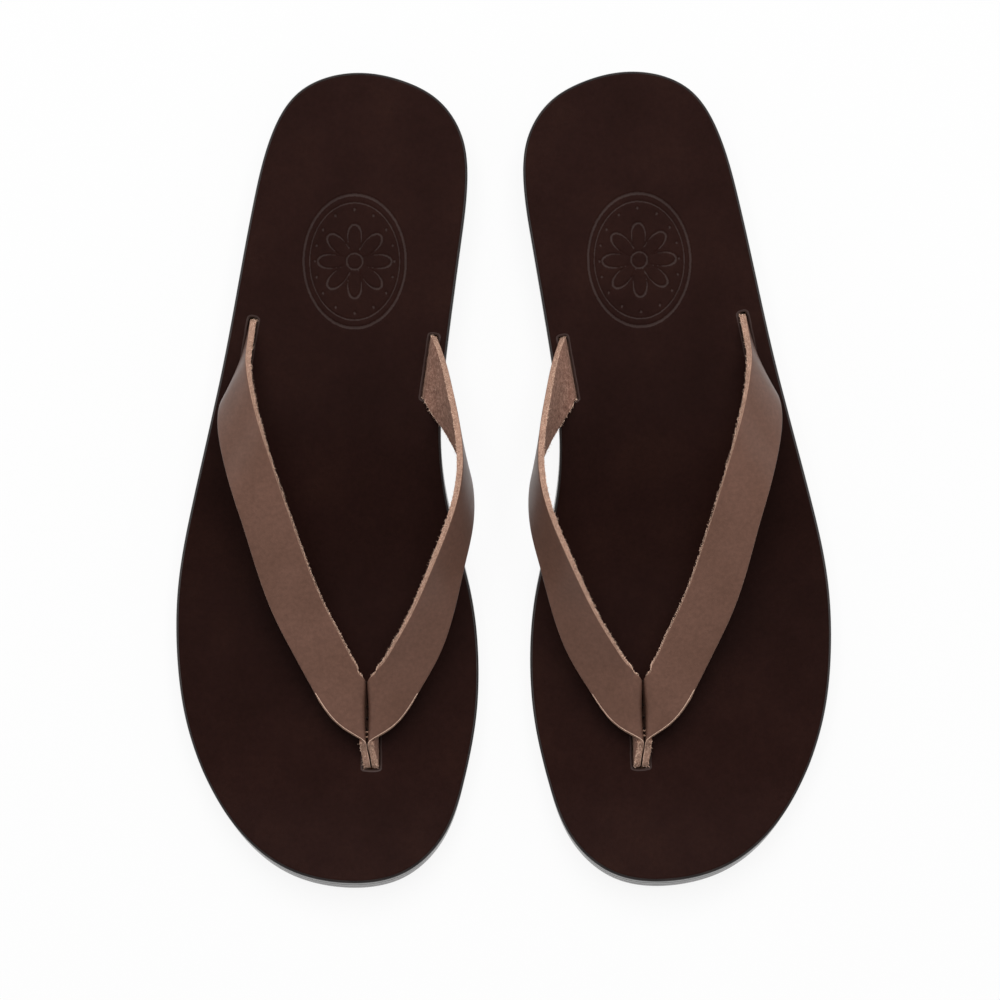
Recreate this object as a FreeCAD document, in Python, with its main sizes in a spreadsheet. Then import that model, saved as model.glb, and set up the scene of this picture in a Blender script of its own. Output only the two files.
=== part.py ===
"""A pair of leather thong sandals (flip flops), in millimetres.

Each sandal is drawn once, in its own frame, and built twice: +Z is up, the toes point towards -Y, and
local x is positive towards the big toe (the medial side).  The right sandal keeps that x; the left one is
its mirror image.  Every sandal then gets the Placement where it stands in the pair's frame, whose origin
is on the floor at the middle of the pair.
"""
import FreeCAD, Part
import math
import os

from FreeCAD import Placement, Rotation, Vector

# ---------------------------------------------------------------- driving dimensions
DIMENSIONS = [
    ("sole_length", 264.0),
    ("ball_width", 98.0),
    ("footbed_thickness", 3.2),
    ("midsole_thickness", 3.0),
    ("outsole_thickness", 3.3),
    ("tread_thickness", 1.5),
    ("heel_lift_thickness", 4.0),
    ("top_piece_thickness", 3.0),
    ("toe_spring", 6.0),
    ("heel_front", 48.0),
    ("heel_inset", 0.4),
    ("tread_inset", 4.0),
    ("strap_thickness", 2.1),
    ("strap_width", 20.1),
    ("toe_strap_width", 17.4),
    ("slot_gap", 0.25),
    ("tail_length", 18.0),
    ("tack_radius", 0.6),
    ("tack_head_radius", 1.6),
    ("tack_head_thickness", 0.5),
    ("tack_length", 3.8),
    ("nail_radius", 0.8),
    ("nail_length", 8.5),
    ("stitch_radius", 0.35),
    ("right_sandal_x", -57.1),
    ("right_sandal_y", -0.25),
    ("right_sandal_yaw", 0.0),
    ("left_sandal_x", 55.4),
    ("left_sandal_y", 0.55),
    ("left_sandal_yaw", 2.1),
]

# Half outlines, from the heel to the toe, as (share of half the ball width, share of half the length).
LATERAL_OUTLINE = [
    (-0.19, 0.951), (-0.376, 0.838), (-0.48, 0.691), (-0.58, 0.494), (-0.678, 0.298), (-0.796, 0.101),
    (-0.92, -0.095), (-0.993, -0.28), (-0.992, -0.44), (-0.937, -0.585), (-0.8, -0.733),
    (-0.555, -0.88), (-0.29, -0.96),
]
TOE_TIP = (0.11, -1.0)
MEDIAL_OUTLINE = [
    (0.506, 0.98), (0.727, 0.936), (0.898, 0.838), (0.927, 0.739), (0.888, 0.592), (0.818, 0.396),
    (0.761, 0.2), (0.753, 0.09), (0.785, -0.02), (0.875, -0.16), (0.958, -0.29), (1.0, -0.455),
    (0.983, -0.585), (0.908, -0.733), (0.772, -0.88), (0.51, -0.975),
]
HEEL_TIP = (0.204, 1.0)

# Each slot's middle, and how far it turns from straight fore-and-aft, in degrees, positive where its front
# end is nearer the little toe.
LATERAL_SLOT_PLACE = ((-25.4, 42.3), 9.5)
MEDIAL_SLOT_PLACE = ((33.2, 36.9), 8.1)
TOE_SLOT_PLACE = ((14.25, -84.3), 0.0)

# Straps, as stations from the rear slot to the seam: the upper (rear) edge and the lower (front) edge of
# the grain side.
LATERAL_ARCH = [
    ((-25.2, 46.5, 23.5), (-30.6, 30.0, 20.0)),
    ((-25.4, 38.0, 34.5), (-34.0, 25.0, 27.0)),
    ((-23.0, 25.5, 41.5), (-34.5, 16.0, 32.5)),
    ((-19.5, 13.5, 43.5), (-32.0, 4.0, 36.5)),
    ((-9.0, -17.5, 38.5), (-25.5, -17.0, 35.5)),
    ((-0.5, -39.5, 32.0), (-17.0, -42.5, 29.5)),
    ((5.3, -51.0, 28.8), (-9.0, -58.5, 25.0)),
    ((8.5, -57.3, 27.4), (-2.0, -71.0, 22.4)),
    ((10.1, -60.5, 26.8), (5.5, -79.6, 21.0)),
    ((10.9, -62.2, 26.4), (10.9, -83.0, 20.4)),
]
MEDIAL_ARCH = [
    ((37.8, 41.0, 22.0), (34.2, 24.2, 18.0)),
    ((40.6, 30.8, 32.5), (38.7, 18.0, 22.0)),
    ((42.8, 20.5, 39.0), (43.5, 10.0, 25.5)),
    ((44.2, 6.0, 43.5), (47.3, -1.0, 28.5)),
    ((42.2, -7.0, 44.0), (47.7, -12.5, 29.5)),
    ((36.0, -24.0, 42.0), (45.0, -26.5, 29.0)),
    ((26.5, -45.0, 36.0), (40.0, -47.0, 27.0)),
    ((21.2, -54.2, 32.3), (35.2, -58.8, 24.5)),
    ((18.3, -58.6, 29.6), (28.5, -70.2, 22.4)),
    ((16.3, -60.9, 27.8), (20.8, -79.6, 21.0)),
    ((15.1, -62.4, 26.6), (15.1, -83.1, 20.4)),
]
# From the shoulder, the last station of its arch, each strap rolls over through a quarter turn into the
# seam plane, where the two run down to the toe slot together, grain against grain.
SEAM_X = 13.0
ROLL_STEPS = 3
ROLL_RUN = Vector(0, -2.0, 0)
POST_MIDDLE = ((13.4, -70.0, 18.5), (13.5, -88.2, 15.0))
SEAM_GAP = 0.5
STITCH_COUNT = 5
STITCH_DEPTH = 5.0

HEEL_NAILS = [(10.0, 118.0), (-10.0, 100.0), (31.0, 102.0), (-12.0, 68.0), (29.0, 70.0)]
TREAD_REAR = -26.0
SIDES = (("right", 1.0), ("left", -1.0))

doc = FreeCAD.newDocument("flip_flops")
sheet = doc.addObject("Spreadsheet::Sheet", "Dimensions")
for row, (alias, value) in enumerate(DIMENSIONS, start=1):
    sheet.set("A%d" % row, alias)
    sheet.set("B%d" % row, str(value))
    sheet.setAlias("B%d" % row, alias)
doc.recompute()

nodes = []


def size(alias):
    """A driving dimension, read from the sheet."""
    return float(getattr(sheet, alias))


def bind(thing, prop, expression):
    """Tie a property to the sheet; names in the expression are the sheet's aliases."""
    for alias, _ in sorted(DIMENSIONS, key=lambda item: -len(item[0])):
        expression = expression.replace("$" + alias, "Dimensions." + alias)
    thing.setExpression(prop, expression)


def keep(thing, label):
    """Name a finished sub-part and remember it for the export."""
    thing.Label = label
    nodes.append(thing)


# ---------------------------------------------------------------- heights of the sole
STACK = size("footbed_thickness") + size("midsole_thickness") + size("outsole_thickness")
HEEL_SEAT = size("top_piece_thickness") + size("heel_lift_thickness")
SHANK_FRONT = 24.0
BALL_REAR = -38.0
BALL_FRONT = -94.0
TOE_BEND = 20.0
SOLE_END_SPARE = 4.0


def sole_curve(rise):
    """The sole's side view as edges in the YZ plane, from the heel end to the toe end, raised by rise."""
    half = size("sole_length") / 2 + SOLE_END_SPARE
    heel = HEEL_SEAT + rise
    ball = size("tread_thickness") + rise
    waist = Part.BezierCurve()
    reach = 0.45 * (SHANK_FRONT - BALL_REAR)
    waist.setPoles([
        Vector(0, SHANK_FRONT, heel),
        Vector(0, SHANK_FRONT - reach, heel),
        Vector(0, BALL_REAR + reach, ball),
        Vector(0, BALL_REAR, ball),
    ])
    toe = Part.BezierCurve()
    toe.setPoles([
        Vector(0, BALL_FRONT, ball),
        Vector(0, BALL_FRONT - TOE_BEND, ball),
        Vector(0, -half, ball + size("toe_spring")),
    ])
    return [
        Part.LineSegment(Vector(0, half, heel), Vector(0, SHANK_FRONT, heel)),
        waist,
        Part.LineSegment(Vector(0, BALL_REAR, ball), Vector(0, BALL_FRONT, ball)),
        toe,
    ]


def in_sketch(curve):
    """The same curve in the sketch's own plane, whose x is the sandal's y and whose y is its z."""
    if isinstance(curve, Part.LineSegment):
        a, b = curve.StartPoint, curve.EndPoint
        return Part.LineSegment(Vector(a.y, a.z, 0), Vector(b.y, b.z, 0))
    flat = Part.BezierCurve()
    flat.setPoles([Vector(p.y, p.z, 0) for p in curve.getPoles()])
    return flat.toBSpline()


def origin_plane(body, role):
    return [item for item in body.Origin.OriginFeatures if item.Role == role][0]


def new_sketch(body, name, role):
    sketch = body.newObject("Sketcher::SketchObject", name)
    sketch.AttachmentSupport = [(origin_plane(body, role), "")]
    sketch.MapMode = "FlatFace"
    return sketch


def outline_curve(mirror, inset=0.0):
    """The sole's outline as one closed curve; the inset makes it that much smaller all round."""
    half_width = size("ball_width") / 2 - inset
    half_length = size("sole_length") / 2 - inset
    shares = [HEEL_TIP] + LATERAL_OUTLINE + [TOE_TIP] + MEDIAL_OUTLINE[::-1]
    points = [Vector(mirror * sx * half_width, sy * half_length, 0) for sx, sy in shares]
    curve = Part.BSplineCurve()
    curve.interpolate(Points=points, PeriodicFlag=True)
    return curve


def polygon(sketch, corners):
    """Straight lines round the given corners."""
    points = [Vector(x, y, 0) for x, y in corners]
    for start, end in zip(points, points[1:] + points[:1]):
        sketch.addGeometry(Part.LineSegment(start, end))


def box_corners(low, high):
    return [(low[0], low[1]), (high[0], low[1]), (high[0], high[1]), (low[0], high[1])]


def cut_through(body, sketch, name):
    """Cut a sketch through everything, both ways from its plane."""
    cut = body.newObject("PartDesign::Pocket", name)
    cut.Profile = sketch
    cut.SideType = "Symmetric"
    bind(cut, "Length", "$ball_width * 2")
    return cut


BEYOND = 160.0


def sole_layer(node, mirror, bottom, thickness, inset=0.0, rear=None):
    """One layer: a sheet with the sole's side view, trimmed to the outline, and at the rear if asked."""
    body = doc.addObject("PartDesign::Body", node)
    profile = new_sketch(body, node + "_side_view", "YZ_Plane")
    for rise in (bottom, bottom + thickness):
        for edge in sole_curve(rise):
            profile.addGeometry(in_sketch(edge))
    half = size("sole_length") / 2 + SOLE_END_SPARE
    ends = ((half, HEEL_SEAT), (-half, size("tread_thickness") + size("toe_spring")))
    for end, level in ends:
        profile.addGeometry(Part.LineSegment(Vector(end, level + bottom, 0),
                                             Vector(end, level + bottom + thickness, 0)))
    sheet_pad = body.newObject("PartDesign::Pad", node + "_sheet")
    sheet_pad.Profile = profile
    sheet_pad.SideType = "Symmetric"
    bind(sheet_pad, "Length", "$ball_width * 1.2")
    trim = new_sketch(body, node + "_outline", "XY_Plane")
    polygon(trim, box_corners((-BEYOND, -BEYOND), (BEYOND, BEYOND)))
    trim.addGeometry(outline_curve(mirror, inset))
    cut_through(body, trim, node + "_trim")
    if rear is not None:
        rear_sketch = new_sketch(body, node + "_rear", "XY_Plane")
        polygon(rear_sketch, box_corners((-BEYOND, rear), (BEYOND, BEYOND)))
        cut_through(body, rear_sketch, node + "_rear_cut")
    return body


def heel_layer(node, mirror, bottom, thickness):
    """One flat heel layer; bottom and thickness are names of dimensions, or 0 for the floor."""
    body = doc.addObject("PartDesign::Body", node)
    outline = new_sketch(body, node + "_outline", "XY_Plane")
    bind(outline, "AttachmentOffset.Base.z", bottom)
    outline.addGeometry(outline_curve(mirror, size("heel_inset")))
    pad = body.newObject("PartDesign::Pad", node + "_pad")
    pad.Profile = outline
    bind(pad, "Length", thickness)
    front = new_sketch(body, node + "_front", "XY_Plane")
    polygon(front, box_corners((-BEYOND, -BEYOND), (BEYOND, size("heel_front"))))
    cut_through(body, front, node + "_front_cut")
    return body


# ---------------------------------------------------------------- slots and recesses
def slot_ends(place_and_turn, width):
    """The two ends of the strap's width in its slot, rear end first."""
    (x, y), turn = place_and_turn
    reach_x = width / 2 * math.sin(math.radians(turn))
    reach_y = width / 2 * math.cos(math.radians(turn))
    return (x + reach_x, y + reach_y), (x - reach_x, y - reach_y)


LATERAL_SLOT = slot_ends(LATERAL_SLOT_PLACE, size("strap_width"))
MEDIAL_SLOT = slot_ends(MEDIAL_SLOT_PLACE, size("strap_width"))
TOE_SLOT = slot_ends(TOE_SLOT_PLACE, size("toe_strap_width"))


def slot_frame(slot):
    """A slot's rear end, its unit direction forwards, the unit direction across it, and its length."""
    start = Vector(slot[0][0], slot[0][1], 0)
    along = Vector(slot[1][0], slot[1][1], 0) - start
    length = along.Length
    along.normalize()
    return start, along, Vector(-along.y, along.x, 0), length


def slot_corners(slot, mirror, low_across, high_across, spare):
    """A rectangle along the slot, between two distances across it, longer than it by spare each way."""
    start, along, across, length = slot_frame(slot)
    corners = []
    for run, reach in ((-spare, low_across), (-spare, high_across),
                       (length + spare, high_across), (length + spare, low_across)):
        point = start + along * run + across * reach
        corners.append((mirror * point.x, point.y))
    return corners


def cut_polygons(body, name, outlines):
    sketch = new_sketch(body, name + "_sketch", "XY_Plane")
    for corners in outlines:
        polygon(sketch, corners)
    return cut_through(body, sketch, name)


# Across a slot, positive is towards the big toe: the way the lateral strap's rear tail folds.
HALF_STRAP = size("strap_thickness") / 2
TAIL_ROOM = size("tail_length") + 2.0
SINGLE_GAP = HALF_STRAP + size("slot_gap")
DOUBLE_GAP = size("strap_thickness") + SEAM_GAP + size("slot_gap")
SLOTS = [(LATERAL_SLOT, SINGLE_GAP), (MEDIAL_SLOT, SINGLE_GAP), (TOE_SLOT, DOUBLE_GAP)]
RECESSES = [(LATERAL_SLOT, -2.0, TAIL_ROOM), (MEDIAL_SLOT, -TAIL_ROOM, 2.0),
            (TOE_SLOT, -TAIL_ROOM - 2.0, TAIL_ROOM + 2.0)]


def footbed(side, mirror):
    bottom = size("outsole_thickness") + size("midsole_thickness")
    body = sole_layer(side + "_footbed", mirror, bottom, size("footbed_thickness"))
    slots = [slot_corners(slot, mirror, -gap, gap, size("slot_gap")) for slot, gap in SLOTS]
    cut_polygons(body, side + "_slots", slots)
    return body


def midsole(side, mirror):
    body = sole_layer(side + "_midsole", mirror, size("outsole_thickness"), size("midsole_thickness"))
    recesses = [slot_corners(slot, mirror, low, high, 1.0) for slot, low, high in RECESSES]
    cut_polygons(body, side + "_recesses", recesses)
    return body


# ---------------------------------------------------------------- straps
def ruled_face(first, second, parameters):
    """The face swept by a straight line between two smooth curves through matching points."""
    curves = []
    for points in (first, second):
        curve = Part.BSplineCurve()
        curve.interpolate(Points=points, Parameters=parameters)
        curves.append(curve)
    surface = Part.BSplineSurface()
    surface.buildFromPolesMultsKnots(
        [curves[0].getPoles(), curves[1].getPoles()], [2, 2], curves[0].getMultiplicities(),
        [0.0, 1.0], curves[0].getKnots(), False, False, 1, curves[0].Degree)
    return surface.toShape()


def roll_over(shoulder, seam_x):
    """The stations of the quarter turn from the shoulder down into the seam plane."""
    radius = abs(seam_x - shoulder[0].x)
    towards = Vector(math.copysign(1.0, seam_x - shoulder[0].x), 0, 0)
    stations = []
    for step in range(1, ROLL_STEPS + 1):
        share = step / ROLL_STEPS
        turn = share * math.pi / 2
        shift = towards * (radius * math.sin(turn)) + ROLL_RUN * share
        shift.z -= radius * (1 - math.cos(turn))
        stations.append((shoulder[0] + shift, shoulder[1] + shift))
    return stations


def flesh_normals(stations, outward, rear_normal, toe_normal):
    """At each station, the direction from the grain side to the flesh side, which faces the foot."""
    shoulder = len(stations) - 3 - ROLL_STEPS
    normals = [rear_normal]
    for index in range(1, shoulder + 1):
        upper, lower = stations[index]
        ahead = stations[index + 1][0] + stations[index + 1][1]
        behind = stations[index - 1][0] + stations[index - 1][1]
        normal = (ahead - behind).cross(lower - upper) * outward
        normals.append(normal.normalize())
    on_shoulder = normals[-1]
    for step in range(1, ROLL_STEPS + 1):
        share = step / ROLL_STEPS
        normals.append((on_shoulder * (1 - share) + toe_normal * share).normalize())
    return normals + [toe_normal, toe_normal]


def ribbon(stations, normals):
    """A closed solid along the stations: four smooth long edges, four ruled sides and two flat ends."""
    thickness = size("strap_thickness")
    middles = [(upper + lower) * 0.5 for upper, lower in stations]
    parameters = [0.0]
    for before, after in zip(middles, middles[1:]):
        parameters.append(parameters[-1] + (after - before).Length)
    corners = [
        [upper for upper, lower in stations],
        [lower for upper, lower in stations],
        [lower + normal * thickness for (upper, lower), normal in zip(stations, normals)],
        [upper + normal * thickness for (upper, lower), normal in zip(stations, normals)],
    ]
    faces = [ruled_face(corners[i], corners[(i + 1) % 4], parameters) for i in range(4)]
    for end in (0, -1):
        ring = [points[end] for points in corners]
        faces.append(Part.Face(Part.makePolygon(ring + ring[:1])))
    shell = Part.Shell(faces)
    shell.sewShape()
    solid = Part.Solid(shell)
    if solid.Volume < 0:
        solid.reverse()
    return solid


def folded_tail(slot, grain, fold, join_height, under):
    """The strap's end: straight down through the slot, then folded flat under the footbed.

    grain is how far across the slot the grain side lies, and fold, +1 or -1, is the way the tail goes.
    """
    thickness = size("strap_thickness")
    start, along, across, length = slot_frame(slot)
    top = under - size("slot_gap") / 4
    low = top - thickness
    flesh = grain + fold * thickness
    tip = flesh + fold * size("tail_length")
    bend = thickness * 0.4
    profile = [(grain, join_height), (grain, low + bend), (grain + fold * bend, low), (tip, low),
               (tip, top), (flesh, top), (flesh, join_height)]
    points = [start + across * reach + Vector(0, 0, height) for reach, height in profile]
    face = Part.Face(Part.makePolygon(points + points[:1]))
    return face.extrude(along * length)


def slot_station(slot, grain, height):
    """The two grain-side corners of a strap that stands in its slot."""
    start, along, across, length = slot_frame(slot)
    rear = start + across * grain + Vector(0, 0, height)
    return rear, rear + along * length


FOOTBED_TOP_AT_HEEL = HEEL_SEAT + STACK
FOOTBED_TOP_AT_BALL = size("tread_thickness") + STACK
JOIN_DEPTH = 1.0


def strap(mirror, lateral):
    """One strap, from the tail under its rear slot to the tail under the toe slot."""
    slot, arch = (LATERAL_SLOT, LATERAL_ARCH) if lateral else (MEDIAL_SLOT, MEDIAL_ARCH)
    rear_fold = 1.0 if lateral else -1.0
    rear_grain = -rear_fold * HALF_STRAP
    toe_grain = -rear_fold * SEAM_GAP / 2
    rear_join = FOOTBED_TOP_AT_HEEL - JOIN_DEPTH
    toe_join = FOOTBED_TOP_AT_BALL - JOIN_DEPTH
    across = slot_frame(slot)[2]
    toe_across = slot_frame(TOE_SLOT)[2]
    stations = [slot_station(slot, rear_grain, rear_join)]
    stations += [(Vector(*upper), Vector(*lower)) for upper, lower in arch]
    stations += roll_over(stations[-1], SEAM_X + toe_grain)
    apart = Vector(toe_grain, 0, 0)
    stations.append(tuple(Vector(*corner) + apart for corner in POST_MIDDLE))
    stations.append(slot_station(TOE_SLOT, toe_grain, toe_join))
    normals = flesh_normals(stations, rear_fold, across * rear_fold, toe_across * -rear_fold)
    body = ribbon(stations, normals)
    heel_under = FOOTBED_TOP_AT_HEEL - size("footbed_thickness")
    ball_under = FOOTBED_TOP_AT_BALL - size("footbed_thickness")
    rear_tail = folded_tail(slot, rear_grain, rear_fold, rear_join, heel_under)
    toe_tail = folded_tail(TOE_SLOT, toe_grain, -rear_fold, toe_join, ball_under)
    whole = body.fuse([rear_tail, toe_tail]).removeSplitter()
    if mirror < 0:
        whole = whole.mirror(Vector(0, 0, 0), Vector(1, 0, 0))
    return whole


# ---------------------------------------------------------------- fasteners
def cylinder(name, radius, height, position, mirror, rotation=Rotation()):
    pin = doc.addObject("Part::Cylinder", name)
    bind(pin, "Radius", radius)
    bind(pin, "Height", height)
    x, y, z = position
    pin.Placement = Placement(Vector(mirror * x, y, z), rotation)
    return pin


def group(node, members):
    compound = doc.addObject("Part::Compound", node)
    compound.Links = members
    return compound


def tail_tacks(node, mirror, tails):
    """Two tacks in each tail, driven up through it into the underside of the footbed."""
    members = []
    for slot, grain, fold, under in tails:
        start, along, across, length = slot_frame(slot)
        reach = grain + fold * (size("strap_thickness") + size("tail_length") * 0.6)
        low = under - size("slot_gap") / 4 - size("strap_thickness")
        for share in (0.25, 0.75):
            point = start + along * (length * share) + across * reach
            name = "%s_%d" % (node, len(members))
            shank = cylinder(name + "_shank", "$tack_radius", "$tack_length",
                             (point.x, point.y, low), mirror)
            head = cylinder(name + "_head", "$tack_head_radius", "$tack_head_thickness",
                            (point.x, point.y, low - size("tack_head_thickness")), mirror)
            tack = doc.addObject("Part::Fuse", name)
            tack.Base = shank
            tack.Tool = head
            members.append(tack)
    return group(node, members)


def heel_nails(node, mirror):
    members = [cylinder("%s_%d" % (node, i), "$nail_radius", "$nail_length", (x, y, 0.6), mirror)
               for i, (x, y) in enumerate(HEEL_NAILS)]
    return group(node, members)


def toe_seam_stitches(node, mirror):
    """Thread ends across both straps, in a row just below the seam."""
    rear, front = (Vector(SEAM_X, corner[1], corner[2]) for corner in LATERAL_ARCH[-1])
    sideways = Rotation(Vector(0, 1, 0), 90)
    members = []
    for i in range(STITCH_COUNT):
        share = (i + 0.7) / (STITCH_COUNT + 0.4)
        point = rear + (front - rear) * share - Vector(0, 0, STITCH_DEPTH)
        half = size("strap_thickness") + size("stitch_radius")
        start_x = mirror * point.x - half
        pin = cylinder("%s_%d" % (node, i), "$stitch_radius", "2 * ($strap_thickness + $stitch_radius)",
                       (start_x, point.y, point.z), 1.0, sideways)
        members.append(pin)
    return group(node, members)


# ---------------------------------------------------------------- the two sandals
def place(thing, side):
    """Stand a sub-part where its sandal stands."""
    x, y, yaw = (size("%s_sandal_%s" % (side, word)) for word in ("x", "y", "yaw"))
    thing.Placement = Placement(Vector(x, y, 0), Rotation(Vector(0, 0, 1), yaw))


def sandal(side, mirror):
    heel_under = FOOTBED_TOP_AT_HEEL - size("footbed_thickness")
    ball_under = FOOTBED_TOP_AT_BALL - size("footbed_thickness")
    pieces = {
        "footbed": footbed(side, mirror),
        "midsole": midsole(side, mirror),
        "outsole": sole_layer(side + "_outsole", mirror, 0.0, size("outsole_thickness")),
        "forefoot_tread": sole_layer(side + "_forefoot_tread", mirror, -size("tread_thickness"),
                                     size("tread_thickness"), size("tread_inset"), TREAD_REAR),
        "heel_lift": heel_layer(side + "_heel_lift", mirror, "$top_piece_thickness",
                                "$heel_lift_thickness"),
        "heel_top_piece": heel_layer(side + "_heel_top_piece", mirror, "0 mm", "$top_piece_thickness"),
        "lateral_tail_tacks": tail_tacks(side + "_lateral_tail_tacks", mirror,
                                         [(LATERAL_SLOT, -HALF_STRAP, 1.0, heel_under)]),
        "medial_tail_tacks": tail_tacks(side + "_medial_tail_tacks", mirror,
                                        [(MEDIAL_SLOT, HALF_STRAP, -1.0, heel_under)]),
        "toe_tail_tacks": tail_tacks(side + "_toe_tail_tacks", mirror,
                                     [(TOE_SLOT, -SEAM_GAP / 2, -1.0, ball_under),
                                      (TOE_SLOT, SEAM_GAP / 2, 1.0, ball_under)]),
        "heel_nails": heel_nails(side + "_heel_nails", mirror),
        "toe_seam_stitches": toe_seam_stitches(side + "_toe_seam_stitches", mirror),
    }
    for name, lateral in (("lateral_strap", True), ("medial_strap", False)):
        feature = doc.addObject("Part::Feature", side + "_" + name)
        feature.Shape = strap(mirror, lateral)
        pieces[name] = feature
    for name, thing in pieces.items():
        place(thing, side)
        keep(thing, side + "_" + name)


for side, mirror in SIDES:
    sandal(side, mirror)
doc.recompute()

for thing in doc.Objects:
    if "Invalid" in thing.State or "Error" in thing.State:
        raise RuntimeError("%s did not recompute: %s" % (thing.Name, thing.State))
for thing in nodes:
    if thing.Shape.isNull() or not thing.Shape.isValid():
        raise RuntimeError("%s has no valid shape" % thing.Label)

os.makedirs("parts", exist_ok=True)
for thing in nodes:
    thing.Shape.exportStep("parts/%s.step" % thing.Label)
    print("%-28s %3d solids %10.1f mm3" % (thing.Label, len(thing.Shape.Solids), thing.Shape.Volume))
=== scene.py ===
"""The looks of a pair of leather thong sandals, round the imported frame.

Each sandal is modelled in its own local millimetres, as the CAD part is: x is positive towards the big
toe, y towards the heel and z up. The right sandal keeps that x and the left one mirrors it. to_frame()
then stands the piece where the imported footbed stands, in metres.
"""

import math
import random

import bpy
import numpy as np
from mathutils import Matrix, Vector, noise
from mathutils.geometry import delaunay_2d_cdt


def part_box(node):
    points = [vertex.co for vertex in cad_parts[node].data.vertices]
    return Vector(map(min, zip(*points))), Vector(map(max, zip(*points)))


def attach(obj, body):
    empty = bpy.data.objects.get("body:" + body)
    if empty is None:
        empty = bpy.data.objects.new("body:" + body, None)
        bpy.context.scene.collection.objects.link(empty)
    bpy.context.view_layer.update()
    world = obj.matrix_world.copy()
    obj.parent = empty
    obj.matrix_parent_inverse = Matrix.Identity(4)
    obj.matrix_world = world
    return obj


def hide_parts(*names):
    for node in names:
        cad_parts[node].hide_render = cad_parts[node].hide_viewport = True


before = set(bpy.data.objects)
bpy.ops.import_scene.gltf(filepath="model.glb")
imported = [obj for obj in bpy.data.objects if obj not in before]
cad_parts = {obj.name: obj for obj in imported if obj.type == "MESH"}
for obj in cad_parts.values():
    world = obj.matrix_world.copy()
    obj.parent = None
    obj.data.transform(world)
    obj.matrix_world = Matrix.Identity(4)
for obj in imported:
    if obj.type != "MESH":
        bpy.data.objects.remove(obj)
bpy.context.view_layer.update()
MM = 0.001
SEED = 20240

# ---- sizes, as in the part, in millimetres
SIDES = {"right": (1.0, 0.0), "left": (-1.0, 2.1)}      # mirror of x, and yaw in degrees
HALF_LENGTH = 132.0
HALF_BALL = 49.0
FOOTBED, MIDSOLE, OUTSOLE, TREAD = 3.2, 3.0, 3.3, 1.5
HEEL_LIFT, TOP_PIECE = 4.0, 3.0
STACK = FOOTBED + MIDSOLE + OUTSOLE
HEEL_SEAT = HEEL_LIFT + TOP_PIECE
TOE_SPRING = 6.0
SHANK_FRONT, BALL_REAR, BALL_FRONT, TOE_BEND, TOE_END = 24.0, -38.0, -94.0, 20.0, -136.0
HEEL_FRONT, HEEL_INSET = 48.0, 0.4
TREAD_REAR, TREAD_INSET = -26.0, 4.0
FOOTBED_TOP_AT_HEEL = HEEL_SEAT + STACK
FOOTBED_TOP_AT_BALL = TREAD + STACK

STRAP = 2.1
STRAP_WIDTH, TOE_STRAP_WIDTH = 20.1, 17.4
TAIL = 18.0
SEAM_X, SEAM_GAP = 13.0, 0.5
LATERAL_SLOT_PLACE = ((-25.4, 42.3), 9.5)
MEDIAL_SLOT_PLACE = ((33.2, 36.9), 8.1)
TOE_SLOT_PLACE = ((14.25, -84.3), 0.0)

# Half outlines, from the heel to the toe, as (share of half the ball width, share of half the length).
HEEL_TIP = (0.204, 1.0)
LATERAL_OUTLINE = [
    (-0.19, 0.951), (-0.376, 0.838), (-0.48, 0.691), (-0.58, 0.494), (-0.678, 0.298), (-0.796, 0.101),
    (-0.92, -0.095), (-0.993, -0.28), (-0.992, -0.44), (-0.937, -0.585), (-0.8, -0.733),
    (-0.555, -0.88), (-0.29, -0.96),
]
TOE_TIP = (0.11, -1.0)
MEDIAL_OUTLINE = [
    (0.506, 0.98), (0.727, 0.936), (0.898, 0.838), (0.927, 0.739), (0.888, 0.592), (0.818, 0.396),
    (0.761, 0.2), (0.753, 0.09), (0.785, -0.02), (0.875, -0.16), (0.958, -0.29), (1.0, -0.455),
    (0.983, -0.585), (0.908, -0.733), (0.772, -0.88), (0.51, -0.975),
]

# Strap stations from the rear slot to the shoulder of the toe seam: upper (rear) and lower (front) edge of
# the grain side.
LATERAL_ARCH = [
    ((-25.2, 46.5, 23.5), (-30.6, 30.0, 20.0)),
    ((-25.4, 38.0, 34.5), (-34.0, 25.0, 27.0)),
    ((-23.0, 25.5, 41.5), (-34.5, 16.0, 32.5)),
    ((-19.5, 13.5, 43.5), (-32.0, 4.0, 36.5)),
    ((-9.0, -17.5, 38.5), (-25.5, -17.0, 35.5)),
    ((-0.5, -39.5, 32.0), (-17.0, -42.5, 29.5)),
    ((5.3, -51.0, 28.8), (-9.0, -58.5, 25.0)),
    ((8.5, -57.3, 27.4), (-2.0, -71.0, 22.4)),
    ((10.1, -60.5, 26.8), (5.5, -79.6, 21.0)),
    ((10.9, -62.2, 26.4), (10.9, -83.0, 20.4)),
]
MEDIAL_ARCH = [
    ((37.8, 41.0, 22.0), (34.2, 24.2, 18.0)),
    ((40.6, 30.8, 32.5), (38.7, 18.0, 22.0)),
    ((42.8, 20.5, 39.0), (43.5, 10.0, 25.5)),
    ((44.2, 6.0, 43.5), (47.3, -1.0, 28.5)),
    ((42.2, -7.0, 44.0), (47.7, -12.5, 29.5)),
    ((36.0, -24.0, 42.0), (45.0, -26.5, 29.0)),
    ((26.5, -45.0, 36.0), (40.0, -47.0, 27.0)),
    ((21.2, -54.2, 32.3), (35.2, -58.8, 24.5)),
    ((18.3, -58.6, 29.6), (28.5, -70.2, 22.4)),
    ((16.3, -60.9, 27.8), (20.8, -79.6, 21.0)),
    ((15.1, -62.4, 26.6), (15.1, -83.1, 20.4)),
]
POST_MIDDLE = ((13.4, -70.0, 18.5), (13.5, -88.2, 15.0))
ROLL_STEPS = 3
ROLL_RUN = -2.0
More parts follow.
